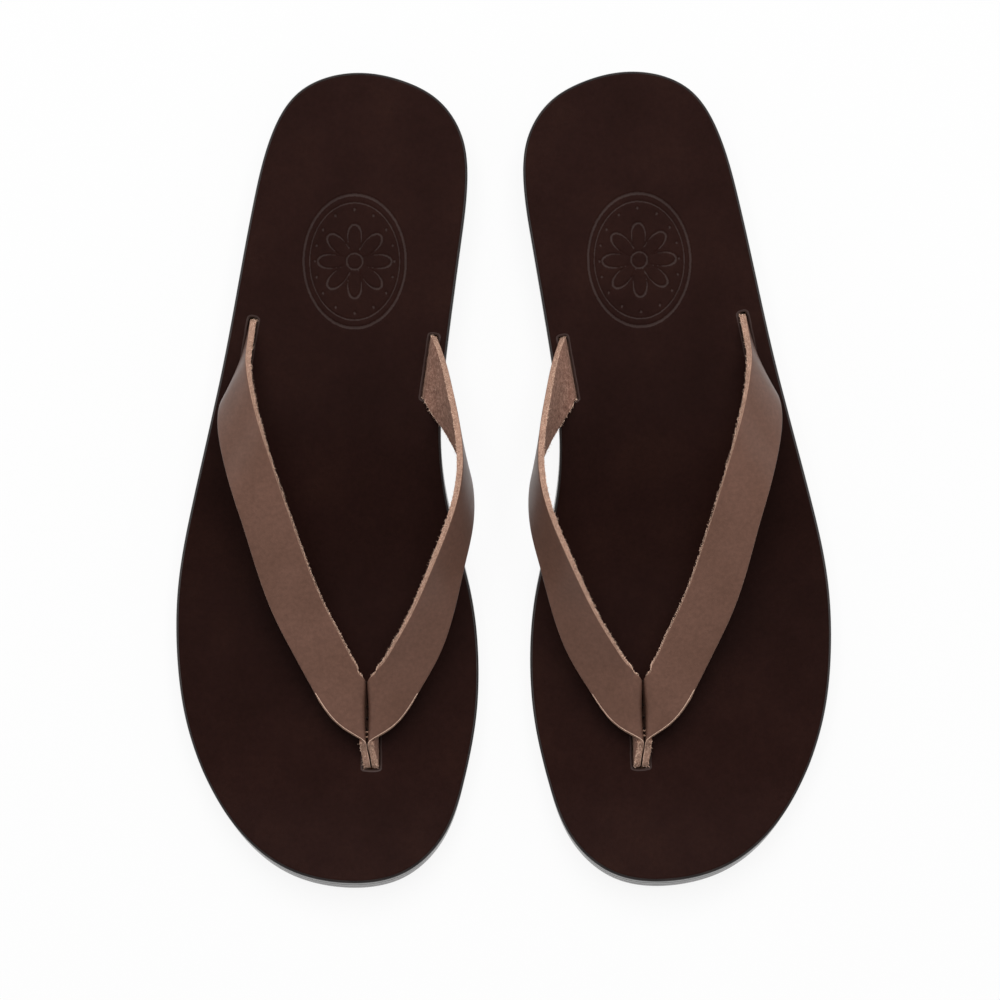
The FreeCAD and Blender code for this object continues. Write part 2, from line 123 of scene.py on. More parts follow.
HEEL_NAILS = [(10.0, 118.0), (-10.0, 100.0), (31.0, 102.0), (-12.0, 68.0), (29.0, 70.0)]


# ---- curves
def unit(vectors):
    """A vector, or rows of them, at length one."""
    return vectors / np.linalg.norm(vectors, axis=-1, keepdims=True)


def cubic_spline(points, knots, at, closed=False):
    """Positions on the smooth curve through the points; a closed one ends on its first point."""
    points, knots, at = (np.asarray(values, float) for values in (points, knots, at))
    gaps = np.diff(knots)
    count = len(points)
    slopes = np.diff(points, axis=0) / gaps[:, None]
    system = np.zeros((count, count))
    right = np.zeros_like(points)
    for i in range(1, count - 1):
        system[i, i - 1:i + 2] = gaps[i - 1], 2 * (gaps[i - 1] + gaps[i]), gaps[i]
        right[i] = 6 * (slopes[i] - slopes[i - 1])
    if closed:
        system[0, [0, 1, -2]] = 2 * (gaps[-1] + gaps[0]), gaps[0], gaps[-1]
        right[0] = 6 * (slopes[0] - slopes[-1])
        system[-1, [0, -1]] = 1, -1
    else:
        system[0, 0] = system[-1, -1] = 1
    bends = np.linalg.solve(system, right)
    i = np.clip(np.searchsorted(knots, at, side="right") - 1, 0, count - 2)
    span = gaps[i][:, None]
    before = (knots[i + 1] - at)[:, None]
    after = (at - knots[i])[:, None]
    return ((bends[i] * before ** 3 + bends[i + 1] * after ** 3) / (6 * span)
            + (points[i] / span - bends[i] * span / 6) * before
            + (points[i + 1] / span - bends[i + 1] * span / 6) * after)


def chord_knots(points):
    steps = np.linalg.norm(np.diff(np.asarray(points, float), axis=0), axis=1)
    return np.concatenate([[0.0], np.cumsum(steps)])


def anticlockwise(ring):
    """The ring, turned round if it runs clockwise from above."""
    following = np.roll(ring, -1, axis=0)
    area = np.sum(ring[:, 0] * following[:, 1] - following[:, 0] * ring[:, 1])
    return ring if area > 0 else ring[::-1]


def sole_outline(count):
    """The sole's outline as count points."""
    shares = [HEEL_TIP] + LATERAL_OUTLINE + [TOE_TIP] + MEDIAL_OUTLINE[::-1] + [HEEL_TIP]
    points = [(sx * HALF_BALL, sy * HALF_LENGTH) for sx, sy in shares]
    knots = chord_knots(points)
    at = np.linspace(0, knots[-1], count, endpoint=False)
    return cubic_spline(points, knots, at, closed=True)


def bezier(poles, count):
    """Points along a Bezier curve."""
    result = []
    for share in np.linspace(0, 1, count):
        row = np.array(poles, float)
        while len(row) > 1:
            row = row[:-1] * (1 - share) + row[1:] * share
        result.append(row[0])
    return np.array(result)


def side_view():
    """The height of the outsole's underside along the sandal, as rising y, z and slope."""
    reach = 0.45 * (SHANK_FRONT - BALL_REAR)
    waist = bezier([(SHANK_FRONT, HEEL_SEAT), (SHANK_FRONT - reach, HEEL_SEAT),
                    (BALL_REAR + reach, TREAD), (BALL_REAR, TREAD)], 120)
    toe = bezier([(BALL_FRONT, TREAD), (BALL_FRONT - TOE_BEND, TREAD), (TOE_END, TREAD + TOE_SPRING)], 80)
    line = np.concatenate([[(-TOE_END, HEEL_SEAT)], waist, toe])[::-1]
    y = np.linspace(TOE_END, -TOE_END, 1200)
    z = np.interp(y, line[:, 0], line[:, 1])
    return y, z, np.gradient(z, y)


SIDE_Y, SIDE_Z, SIDE_SLOPE = side_view()


def on_sole(x, y, t):
    """Over the place (x, y) of the outline, at height t in the stack of layers, square to the side view."""
    z = np.interp(y, SIDE_Y, SIDE_Z)
    slope = np.interp(y, SIDE_Y, SIDE_SLOPE)
    lean = 1 / np.sqrt(1 + slope ** 2)
    return np.stack([x, y - slope * lean * t, z + lean * t], axis=-1)


def on_floor(x, y, t):
    """Heel layers are flat, so t is the height."""
    return np.stack([x, y, t], axis=-1)


# ---- flat layers with rounded edges
def inset_ring(ring, distance):
    """An anticlockwise ring moved inwards."""
    ahead = unit(np.roll(ring, -1, axis=0) - ring)
    inward = np.stack([-ahead[:, 1], ahead[:, 0]], axis=1)
    middle = unit(inward + np.roll(inward, 1, axis=0))
    reach = np.clip(np.sum(middle * inward, axis=1), 0.5, 1.0)
    return ring + middle * (distance / reach)[:, None]


def inside(points, ring):
    """Which points lie inside a ring."""
    result = np.zeros(len(points), bool)
    for (ax, ay), (bx, by) in zip(ring, np.roll(ring, -1, axis=0)):
        crosses = (ay > points[:, 1]) != (by > points[:, 1])
        if crosses.any():
            share = (points[:, 1] - ay) / ((by - ay) or 1e-12)
            result ^= crosses & (points[:, 0] < ax + share * (bx - ax))
    return result


def lattice(low, high, spacing):
    """A triangular lattice of points over a rectangle."""
    rows = np.arange(low[1], high[1], spacing * 0.866)
    points = []
    for i, y in enumerate(rows):
        xs = np.arange(low[0] + (i % 2) * spacing / 2, high[0], spacing)
        points.append(np.stack([xs, np.full_like(xs, y)], axis=1))
    return np.concatenate(points)


def cap_points(rings, spacing, fine=None):
    """Places for a cap's inner points, clear of its rings; fine is (low, high, spacing) of a closer patch."""
    outer = rings[0]
    points = lattice(outer.min(axis=0), outer.max(axis=0), spacing)
    if fine:
        low, high, close = fine
        within = np.all((points > low) & (points < high), axis=1)
        points = np.concatenate([points[~within], lattice(low, high, close)])
    keep = inside(points, outer)
    for ring in rings[1:]:
        keep &= ~inside(points, ring)
    points = points[keep]
    edge = np.concatenate(rings)
    nearest = np.full(len(points), np.inf)
    for chunk in np.array_split(edge, max(1, len(edge) // 64)):
        gaps = np.linalg.norm(points[:, None, :] - chunk[None, :, :], axis=2)
        nearest = np.minimum(nearest, gaps.min(axis=1))
    return points[nearest > 0.9]


def cap_faces(rings, inner):
    """Triangles that fill the outer ring round the holes; indices run through the rings, then inner."""
    places = np.concatenate(rings + [inner]) if len(inner) else np.concatenate(rings)
    edges = []
    start = 0
    for ring in rings:
        count = len(ring)
        edges += [(start + i, start + (i + 1) % count) for i in range(count)]
        start += count
    found = delaunay_2d_cdt([Vector(p) for p in places], edges, [], 0, 1e-6)
    origin = [ids[0] for ids in found[3]]
    faces = np.array([[origin[i] for i in face] for face in found[2] if len(face) == 3])
    middles = places[faces].mean(axis=1)
    keep = inside(middles, rings[0])
    for ring in rings[1:]:
        keep &= ~inside(middles, ring)
    return faces[keep]


class Mesh:
    """Vertices in local millimetres, with faces and their materials."""

    def __init__(self):
        self.points = []
        self.faces = []
        self.kinds = []

    def add(self, points):
        start = len(self.points)
        self.points.extend(tuple(map(float, p)) for p in points)
        return start

    def face(self, corners, kind):
        self.faces.append(tuple(int(c) for c in corners))
        self.kinds.append(kind)

    def band(self, first, second, kinds, flip=False):
        """Quads between two rings, one for each of the kinds."""
        for i, kind in enumerate(kinds):
            j = (i + 1) % len(kinds)
            quad = (first + i, first + j, second + j, second + i)
            self.face(quad[::-1] if flip else quad, kind)

    def skin(self, starts, count, kind):
        """A closed tube through rings of the same count."""
        for first, second in zip(starts, starts[1:]):
            self.band(first, second, [kind] * count)
        self.face(range(starts[0], starts[0] + count)[::-1], kind)
        self.face(range(starts[-1], starts[-1] + count), kind)


def round_steps(radius, steps=5, run=1.0):
    """Insets and drops of a rounded edge, from the flat to the side; run stretches it inwards."""
    turns = np.linspace(0, math.pi / 2, steps + 1)
    return [(run * radius * (1 - math.sin(a)), radius * (1 - math.cos(a))) for a in turns]


SUPPORT = 0.3            # width of the flat strip beside a rounded edge
PRESSED_SHARE = 0.6      # share of the full depth from which a pressed line takes the lighter colour of a painted highlight


def edge_profile(low, high, low_round, high_round, run=1.0):
    """(inset, height) pairs from inside the low cap, round the side, to inside the high cap."""
    low_part = [(low_round + SUPPORT, low)] + [(i, low + d) for i, d in round_steps(low_round)]
    high_part = [(i, high - d) for i, d in round_steps(high_round, 7, run)][::-1]
    return low_part + high_part + [(run * high_round + SUPPORT, high)]


def slab(outline, low, high, place, rounds=(0.2, 0.2, 1.0), holes=(), hole_round=0.15, spacing=5.0,
         top_fine=None, low_fine=None, top_shape=None, low_shape=None, top_over=0):
    """A layer between heights low and high.

    Kinds: 0 top, 1 side, 2 hole rim and wall, 3 underside, 4 the lines pressed into the top, which the
    footbed colours lighter as a painted highlight.

    top_shape and low_shape give how far each cap sinks into the layer, at given places, and top_over
    how many strips of the rounded edge look like the top.
    """
    mesh = Mesh()
    profiles = [edge_profile(low, high, *rounds)]
    profiles += [edge_profile(low, high, 0.15, hole_round) for _ in holes]
    first_rings, last_rings, first_start, last_start = [], [], [], []
    for index, (ring, profile) in enumerate(zip([outline, *holes], profiles)):
        sign = 1.0 if index == 0 else -1.0
        kind = 1 if index == 0 else 2
        starts = []
        for inset, t in profile:
            moved = inset_ring(ring, sign * inset)
            starts.append(mesh.add(place(moved[:, 0], moved[:, 1], np.full(len(moved), t))))
            if len(starts) == 1:
                first_rings.append(moved)
        last_rings.append(moved)
        first_start.append(starts[0])
        last_start.append(starts[-1])
        for step, (a, b) in enumerate(zip(starts, starts[1:])):
            strip = kind
            if step == 0:
                strip = 3
            if step >= len(starts) - 2 - (top_over if index == 0 else 0):
                strip = 0
            mesh.band(a, b, [strip] * len(ring), flip=index > 0)
    caps = ((last_rings, last_start, high, top_fine, top_shape, 0, -1.0),
            (first_rings, first_start, low, low_fine, low_shape, 3, 1.0))
    for rings, starts, level, fine, shape, kind, sink in caps:
        inner = cap_points(rings, spacing, fine)
        depths = np.zeros(len(inner)) if shape is None else shape(inner[:, 0], inner[:, 1])
        heights = level + sink * depths
        sunk = np.concatenate([np.zeros(sum(len(ring) for ring in rings)), depths])
        deep = PRESSED_SHARE * max(depths.max(), 1e-6) if len(inner) else 1.0
        inner_start = mesh.add(place(inner[:, 0], inner[:, 1], heights))
        index_of = np.concatenate([start + np.arange(len(ring)) for ring, start in zip(rings, starts)]
                                  + [inner_start + np.arange(len(inner))])
        for triangle in cap_faces(rings, inner):
            corners = index_of[triangle]
            # Deep enough pressed lines get a lighter colour: a painted highlight along them.
            highlighted_line = kind == 0 and sunk[triangle].mean() > deep
            mesh.face(corners if kind == 0 else corners[::-1], 4 if highlighted_line else kind)
    return mesh


def cut_outline(ring, y, keep_heel):
    """The part of an outline on one side of a straight cut across the sandal, with softened corners."""
    kept = ring[:, 1] > y if keep_heel else ring[:, 1] < y
    start = int(np.flatnonzero(kept & ~np.roll(kept, 1))[0])
    turned_ring = np.roll(ring, -start, axis=0)
    count = int(kept.sum())
    ends = []
    for inner, outer in ((turned_ring[count - 1], turned_ring[count]), (turned_ring[0], turned_ring[-1])):
        ends.append(inner + (outer - inner) * (y - inner[1]) / (outer[1] - inner[1]))
    corners = np.concatenate([turned_ring[:count], ends, turned_ring[:1]])
    knots = chord_knots(corners)
    close = np.linspace(0, knots[-1], 3 * int(knots[-1] / 1.5), endpoint=False)
    even = np.stack([np.interp(close, knots, corners[:, axis]) for axis in (0, 1)], axis=1)
    for _ in range(2):
        even = sum(np.roll(even, step, axis=0) for step in range(-4, 5)) / 9
    return even[::3]


# ---- slots
def roughen(point, scale, amount, shift):
    """Signed noise at a point, in millimetres."""
    return noise.noise(Vector(point) * scale + Vector((shift, shift * 1.7, shift * 0.3))) * amount


def slot_ends(place_and_turn, width):
    """The two ends of the strap's width in its slot, rear end first."""
    (x, y), turn = place_and_turn
    reach_x = width / 2 * math.sin(math.radians(turn))
    reach_y = width / 2 * math.cos(math.radians(turn))
    return np.array([x + reach_x, y + reach_y]), np.array([x - reach_x, y - reach_y])


LATERAL_SLOT = slot_ends(LATERAL_SLOT_PLACE, STRAP_WIDTH)
MEDIAL_SLOT = slot_ends(MEDIAL_SLOT_PLACE, STRAP_WIDTH)
TOE_SLOT = slot_ends(TOE_SLOT_PLACE, TOE_STRAP_WIDTH)


def slot_axes(slot):
    """Unit directions forwards along a slot and across it, towards the big toe."""
    along = unit(slot[1] - slot[0])
    return along, np.array([-along[1], along[0]])


def slot_ring(slot, half_width, end_reach, side_steps=24, end_steps=9):
    """A slit with rounded ends that reach end_reach past the strap, anticlockwise."""
    along, across = slot_axes(slot)
    length = np.linalg.norm(slot[1] - slot[0])
    ring = []
    for end, turn in ((length, 1.0), (0.0, -1.0)):
        for angle in np.linspace(-math.pi / 2, math.pi / 2, end_steps):
            reach = math.copysign(abs(math.sin(angle)) ** 0.7, math.sin(angle))
            ring.append(slot[0] + along * (end + turn * end_reach * math.cos(angle))
                        + across * (turn * half_width * reach))
        side = np.linspace(end, length - end, side_steps + 1)[1:-1]
        ring += [slot[0] + along * run + across * (turn * half_width) for run in side]
    ring = np.array([point + [roughen((*point, 0.0), 0.45, 0.16, shift) for shift in (3.0, 8.0)]
                     for point in ring])
    return anticlockwise(ring)


def recess_ring(slot, low, high, spare=1.0):
    """The room under a slot for a folded tail, anticlockwise."""
    along, across = slot_axes(slot)
    length = np.linalg.norm(slot[1] - slot[0])
    corners = [slot[0] + along * run + across * reach for run, reach in
               ((-spare, low), (-spare, high), (length + spare, high), (length + spare, low))]
    ring = []
    for a, b in zip(corners, corners[1:] + corners[:1]):
        ring += [a + (b - a) * share for share in np.linspace(0, 1, 12, endpoint=False)]
    return anticlockwise(np.array(ring))


def circle_ring(x, y, radius, count=20):
    turns = np.linspace(0, 2 * math.pi, count, endpoint=False)
    return np.stack([x + radius * np.cos(turns), y + radius * np.sin(turns)], axis=1)


# ---- the pressed ornament on the heel seat
ORNAMENT_MIDDLE = np.array([9.0, 71.0])
ORNAMENT_HALF = np.array([16.5, 21.5])
PRESS_DEPTH = 0.26
PRESS_HALF_LINE = 0.42


def pressed(gap, half_line=PRESS_HALF_LINE):
    """How deep a pressed line is at a distance from its middle, as a share."""
    return 1 / (1 + np.exp(np.minimum((np.abs(gap) - half_line) / 0.07, 80.0)))


def ornament(x, y):
    """A plain oval frame with a rosette of petals in it."""
    u = x - ORNAMENT_MIDDLE[0]
    v = y - ORNAMENT_MIDDLE[1]
    radius = np.hypot(u, v) + 1e-6
    turn = np.arctan2(v, u)
    oval = np.hypot(u / ORNAMENT_HALF[0], v / ORNAMENT_HALF[1])
    share = pressed((oval - 1) * 18.0)
    share = np.maximum(share, pressed((oval - 0.88) * 18.0, 0.22))
    petals = 4
    reach = 10.5 * np.abs(np.cos(petals * turn)) ** 0.55 + 1.4
    bend = np.clip(np.abs(np.sin(petals * turn)), 0.0, 1.0)
    share = np.maximum(share, pressed((radius - reach) / (1 + 1.8 * bend), 0.3))
    share = np.maximum(share, pressed(radius - 2.6, 0.3))
    beads = 16
    spot = (turn + math.pi / beads) % (2 * math.pi / beads) - math.pi / beads
    bead_gap = np.hypot(radius * spot, (oval - 0.78) * 17.0)
    share = np.maximum(share, pressed(bead_gap, 0.45))
    return PRESS_DEPTH * share


# ---- straps
JOIN_DEPTH = 1.0
TAIL_CLEARANCE = 0.06
INNER_BEND = 0.4
ROW_STEP = 0.45
CROWN = 0.12
GRAIN_ROUND, FLESH_ROUND = 0.38, 0.3
BEVEL = (1.15, -0.3)       # at the lower edge near the toe, and at the upper edge
HIGHLIGHT_FRONT = (-65.0, -71.0)     # over which the lower edge near the toe flares out, and past whose middle its rounded grain corner is coloured as a painted highlight
BELLY, SEAM_REACH = 0.5, 1.6       # bulge of the leather pressed together in the seam, and its width
SINK, VALLEY_REACH = 1.9, 4.5      # depth of the valley over the seam, and its width
EDGE_REACH = 0.6                   # how far from a cut edge the leather is rough


def roll_over(shoulder, seam_x):
    """The stations of the quarter turn from the shoulder down into the seam plane."""
    upper, lower = (np.array(corner) for corner in shoulder)
    radius = abs(seam_x - upper[0])
    towards = math.copysign(1.0, seam_x - upper[0])
    stations = []
    for step in range(1, ROLL_STEPS + 1):
        share = step / ROLL_STEPS
        turn = share * math.pi / 2
        shift = np.array([towards * radius * math.sin(turn), ROLL_RUN * share,
                          -radius * (1 - math.cos(turn))])
        stations.append((upper + shift, lower + shift))
    return stations


def in_slot(slot, grain, height):
    """The grain-side corners of a strap that stands in its slot, rear one first."""
    across = slot_axes(slot)[1]
    return tuple(np.append(end + across * grain, height) for end in slot)


def strap_rows(lateral):
    """Cross-sections along a strap: upper corner, lower corner and flesh direction of each."""
    slot, arch = (LATERAL_SLOT, LATERAL_ARCH) if lateral else (MEDIAL_SLOT, MEDIAL_ARCH)
    fold = 1.0 if lateral else -1.0
    rear_grain, toe_grain = -fold * STRAP / 2, -fold * SEAM_GAP / 2
    rear_top = FOOTBED_TOP_AT_HEEL - FOOTBED - TAIL_CLEARANCE
    toe_top = FOOTBED_TOP_AT_BALL - FOOTBED - TAIL_CLEARANCE
    apart = np.array([toe_grain, 0, 0])
    stations = [in_slot(slot, rear_grain, rear_top + INNER_BEND),
                in_slot(slot, rear_grain, FOOTBED_TOP_AT_HEEL - JOIN_DEPTH)]
    stations += [(np.array(upper), np.array(lower)) for upper, lower in arch]
    stations += roll_over(arch[-1], SEAM_X + toe_grain)
    stations.append(tuple(np.array(corner) + apart for corner in POST_MIDDLE))
    stations += [in_slot(TOE_SLOT, toe_grain, FOOTBED_TOP_AT_BALL - JOIN_DEPTH),
                 in_slot(TOE_SLOT, toe_grain, toe_top + INNER_BEND)]
    corners = np.array([np.concatenate(pair) for pair in stations])
    middles = (corners[:, :3] + corners[:, 3:]) / 2
    knots = chord_knots(middles)
    at = np.linspace(0, knots[-1], int(knots[-1] / ROW_STEP))
    smooth = cubic_spline(corners, knots, at)
    upper, lower = smooth[:, :3], smooth[:, 3:]
    ahead = np.gradient((upper + lower) / 2, axis=0)
    flesh = unit(np.cross(ahead, lower - upper) * fold)
    rear = folded_rows(slot, fold, rear_grain, rear_top)
    front = folded_rows(TOE_SLOT, -fold, toe_grain, toe_top)
    parts = []
    for tail, body, toe in zip(rear, (upper, lower, flesh), front):
        parts.append(np.concatenate([tail[::-1], body[1:-1], toe]))
    return parts


def folded_rows(slot, fold, grain, top):
    """Cross-sections of a tail, from the slot, round the fold and flat out under the footbed."""
    across = np.append(slot_axes(slot)[1], 0.0)
    up = np.array([0.0, 0.0, 1.0])
    outer = INNER_BEND + STRAP
    uppers, lowers, normals = [], [], []
    turns = list(np.linspace(0, math.pi / 2, 9)) + [math.pi / 2] * 6
    runs = [0.0] * 9 + list(np.linspace(0, TAIL - INNER_BEND, 7)[1:])
    for turn, run in zip(turns, runs):
        normal = across * (fold * math.cos(turn)) + up * math.sin(turn)
        centre = across * (grain + fold * (STRAP + INNER_BEND + run)) + up * (top + INNER_BEND)
        shift = centre - normal * outer
        uppers.append(np.append(slot[0], 0.0) + shift)
        lowers.append(np.append(slot[1], 0.0) + shift)
        normals.append(normal)
    return np.array(uppers), np.array(lowers), np.array(normals)


def section(width):
    """The strap's cross-section as (distance from the upper edge, depth, kind) going round once.

    Kinds: 0 grain, 1 cut edge, 2 flesh, 4 the rounded corner between the grain and the lower edge. A kind
    belongs to the face that follows its point.
    """
    near_grain = round_steps(GRAIN_ROUND, 4)
    near_flesh = [(r, STRAP - d) for r, d in round_steps(FLESH_ROUND, 3)]
    depths = np.linspace(GRAIN_ROUND, STRAP - FLESH_ROUND, 6)[1:-1]
    edge = near_grain + [(0.0, d) for d in depths] + near_flesh[::-1]
    kinds = [0, 0] + [1] * (len(edge) - 2)
    points = [(w, d, kind) for (w, d), kind in zip(edge, kinds)]
    points[-1] = (*points[-1][:2], 2)
    shares = np.linspace(0, 1, 11)[1:-1]
    span = width - 2 * FLESH_ROUND
    points += [(FLESH_ROUND + span * s, STRAP, 2) for s in shares]
    mirrored = [(width - w, d) for w, d in edge[::-1]]
    kinds = [1] * (len(edge) - 3) + [4, 4, 0]
    points += [(w, d, kind) for (w, d), kind in zip(mirrored, kinds)]
    span = width - 2 * GRAIN_ROUND
    points += [(width - GRAIN_ROUND - span * s, -CROWN * 4 * s * (1 - s), 0)
               for s in np.linspace(0, 1, 14)[1:-1]]
    return points


def ramp(value, start, end):
    """How far a value is from start to end, kept between 0 and 1."""
    return min(1.0, max(0.0, (value - start) / (end - start)))


def strap_mesh(lateral, seed):
    """A leather strap: smooth grain, fibrous cut edges with loose fibres, and a napped flesh side.

    Kinds: 0 grain, 1 cut edge, 2 flesh, 3 pale fibres, also used as a painted highlight on the lower grain
    corner near the toe.
    """
    chance = random.Random(seed)
    upper, lower, flesh = strap_rows(lateral)
    mesh = Mesh()
    count = len(section(STRAP_WIDTH))
    starts = []
    lower_corner_kinds = []
    away = np.array([-1.0 if lateral else 1.0, 0.0, 0.0])
    for row in range(len(upper)):
        width = np.linalg.norm(lower[row] - upper[row])
        outward = (upper[row] - lower[row]) / width
        middle = (upper[row] + lower[row]) / 2
        aside = abs(middle[0] - SEAM_X)
        in_seam = max(0.0, 1 - aside / SEAM_REACH) * ramp(middle[2], 13.0, 17.0)
        near_seam = max(0.0, 1 - aside / VALLEY_REACH) ** 2 * ramp(middle[2], 14.0, 20.0)
        facing = max(0.0, -flesh[row][2])
        front = ramp(lower[row][1], *HIGHLIGHT_FRONT)
        # Near the toe the rounded grain corner of the lower edge takes the pale fibre colour: a painted
        # highlight.
        lower_corner_kinds.append(3 if front > 0.5 else 0)
        bevels = (BEVEL[0] * front, BEVEL[1])
        ring = []
        for w, d, kind in section(width):
            point = upper[row] - outward * w + flesh[row] * d
            swell = math.sin(math.pi * w / width)
            point = point + away * (BELLY * in_seam * swell)
            point[2] -= SINK * swell * near_seam
            edge_share = max(0.0, 1 - min(w, width - w) / EDGE_REACH)
            side = 1.0 if w < width / 2 else -1.0
            if d > 0.3:
                deep = ramp(d, 0.3, 0.9)
                rough = roughen(point, 0.9, 0.2, seed) + roughen(point, 2.3, 0.32, seed + 5.0)
                rough *= 1 - 0.6 * facing
                flare = bevels[side > 0] * facing * d / STRAP
                point = point + outward * (side * (rough * deep + flare) * edge_share)
            if d > STRAP - 0.1 and edge_share < 1.0:
                point = point + flesh[row] * roughen(point, 1.6, 0.12, seed + 9.0)
            ring.append(point)
        starts.append(mesh.add(ring))
    flip = not lateral
    for a, b, corner in zip(starts, starts[1:], lower_corner_kinds):
        mesh.band(a, b, [corner if kind == 4 else kind for _, _, kind in section(STRAP_WIDTH)], flip)
    for start, turned_back in ((starts[0], lateral), (starts[-1], flip)):
        end_ring = range(start, start + count)
        mesh.face(end_ring[::-1] if turned_back else end_ring, 1)
    loose_fibres(mesh, upper, lower, flesh, chance)
    return mesh


FIBRE_STEP = 0.09


def loose_fibres(mesh, upper, lower, flesh, chance):
    """Short bent fibres that stand out of the upper cut edge, and of the lower one near the toe."""
    hidden = 17
    for row in range(hidden, len(upper) - hidden):
        ahead = unit(upper[row + 1] - upper[row])
        across = unit(upper[row] - lower[row])
        flat = max(0.0, -flesh[row][2])
        for corner, outward in ((upper[row], across), (lower[row], -across)):
            tidy = flat > 0.5 and outward is not across and corner[1] > HIGHLIGHT_FRONT[0]
            for _ in range(int(ROW_STEP / FIBRE_STEP)):
                if chance.random() > (0.1 if tidy else 0.75):
                    continue
                depth = STRAP * (0.28 + 0.72 * chance.random() ** 0.7)
                root = corner + ahead * chance.uniform(0, ROW_STEP) + flesh[row] * depth - outward * 0.12
                lean = unit(outward * chance.uniform(0.25, 1.0) + ahead * chance.uniform(-1.0, 1.0)
                            + flesh[row] * chance.uniform(-0.15, 0.75))
                curl = ahead * chance.uniform(-0.6, 0.6) + flesh[row] * chance.uniform(-0.4, 0.5)
                length = (0.3 + 0.9 * chance.random() ** 2) * (1 - 0.45 * flat)
                add_fibre(mesh, root, lean, curl, length, chance.uniform(0.04, 0.085))


def add_fibre(mesh, root, lean, curl, length, radius):
    """One closed three-sided fibre that narrows to a point."""
    aside = unit(np.cross(lean, curl + np.array([0.31, 0.17, 0.23])))
    second = np.cross(lean, aside)
    rings = []
    for share, width in ((0.0, 1.0), (0.55, 0.7)):
        middle = root + lean * (length * share) + curl * (length * share * share)
        rings.append([middle + (aside * math.cos(a) + second * math.sin(a)) * (radius * width)
                      for a in (0.0, 2 * math.pi / 3, 4 * math.pi / 3)])
    tip = root + lean * length + curl * length * 0.6
    start = mesh.add(rings[0] + rings[1] + [tip])
    faces = [(start + 2, start + 1, start)]
    for i in range(3):
        j = (i + 1) % 3
        faces.append((start + i, start + j, start + 3 + j, start + 3 + i))
        faces.append((start + 3 + i, start + 3 + j, start + 6))
    for corners in faces:
        mesh.face(corners, 3)


# ---- threads, tacks and nails
def tube(mesh, path, radius, kind=0, sides=8):
    """A round closed tube along a path of points, twisted like a two-ply thread."""
    path = np.array(path, float)
    ahead = unit(np.gradient(path, axis=0))
    aside = np.cross(ahead[0], [0.3, 0.5, 0.81])
    starts = []
    run = 0.0
    for row, point in enumerate(path):
        aside = unit(aside - ahead[row] * np.dot(aside, ahead[row]))
        second = np.cross(ahead[row], aside)
        ring = []
        for i in range(sides):
            turn = 2 * math.pi * i / sides
            swell = 1 + 0.16 * math.cos(2 * turn - run * 5.0)
            ring.append(point + (aside * math.cos(turn) + second * math.sin(turn)) * radius * swell)
        starts.append(mesh.add(ring))
        if row + 1 < len(path):
            run += np.linalg.norm(path[row + 1] - point)
    mesh.skin(starts, sides, kind)


def turned(mesh, profile, base, sides=20):
    """A turned piece about an upright axis: (radius, height) pairs from its foot to its top."""
    starts = []
    for radius, height in profile:
        turns = np.linspace(0, 2 * math.pi, sides, endpoint=False)
        starts.append(mesh.add([(base[0] + radius * math.cos(a), base[1] + radius * math.sin(a), height)
                                for a in turns]))
    mesh.skin(starts, sides, 0)


STITCH_COUNT = 5
STITCH_DEPTH = 5.0
THREAD = 0.3
THREAD_ENDS, THREAD_END_HEIGHT = (-80.9, -82.5), 18.6


def seam_stitches():
    """Saddle stitching through both straps just under the toe seam, on both of their flesh sides.

    Kinds: 0 thread, 1 the thread that crosses the seam, darkened as painted shade deep in the seam.
    """
    mesh = Mesh()
    rear, front = (np.array([SEAM_X, *corner[1:]]) for corner in LATERAL_ARCH[-1])
    reach = STRAP + SEAM_GAP / 2 + THREAD * 0.4
    holes = []
    for i in range(STITCH_COUNT):
        share = (i + 0.7) / (STITCH_COUNT + 0.4)
        holes.append(rear + (front - rear) * share - np.array([0, 0, STITCH_DEPTH]))
    for side in (-1.0, 1.0):
        for i, (a, b) in enumerate(zip(holes, holes[1:])):
            out = np.array([side * reach, 0, 0])
            sink = np.array([side * (reach - 1.2), 0, 0])
            path = [a + sink, a + (sink + out) * 0.5 + (b - a) * 0.01]
            path += [a + (b - a) * s + out * (1 + 0.06 * math.sin(math.pi * s))
                     for s in np.linspace(0.06, 0.94, 9)]
            path += [b + (sink + out) * 0.5 - (b - a) * 0.01, b + sink]
            tube(mesh, path, THREAD)
    for y in THREAD_ENDS:
        path = [(SEAM_X + x, y + 0.1 * x, THREAD_END_HEIGHT) for x in np.linspace(-1.0, 1.0, 7)]
        tube(mesh, path, THREAD)
    for place in holes:
        path = [place + np.array([x, 0, 0]) for x in np.linspace(-reach + 0.8, reach - 0.8, 7)]
        tube(mesh, path, THREAD, 1)
    return mesh


def tail_tacks(tails):
    """Domed tacks in the folded tails, driven up into the footbed."""
    mesh = Mesh()
    for slot, grain, fold, top in tails:
        along, across = slot_axes(slot)
        length = np.linalg.norm(slot[1] - slot[0])
        low = top - STRAP
        for share in (0.25, 0.75):
            place = slot[0] + along * (length * share) + across * (grain + fold * (STRAP + TAIL * 0.6))
            dome = [(1.6 * math.sin(a), low - 0.5 * math.cos(a)) for a in np.linspace(0.15, math.pi / 2, 6)]
            shank = [(0.62, low), (0.6, low + 2.4), (0.34, low + 3.2), (0.06, low + 3.8)]
            turned(mesh, dome + [(1.5, low + 0.02)] + shank, place)
    return mesh


def heel_nails():
    """Round heads just inside the top piece, and shanks up through the heel."""
    mesh = Mesh()
    for place in HEEL_NAILS:
        head = [(0.3, 0.6), (0.75, 0.63), (0.95, 0.72), (1.02, 0.9), (1.0, 1.05), (0.8, 1.1)]
        turned(mesh, head + [(0.78, 8.2), (0.4, 8.8), (0.06, 9.1)], place)
    return mesh


# ---- undersides
GROOVE_PITCH, HALF_GROOVE, GROOVE_DEPTH, GROOVE_WAVE = 4.2, 0.62, 0.55, 1.1
PLAIN_BORDER = 4.5


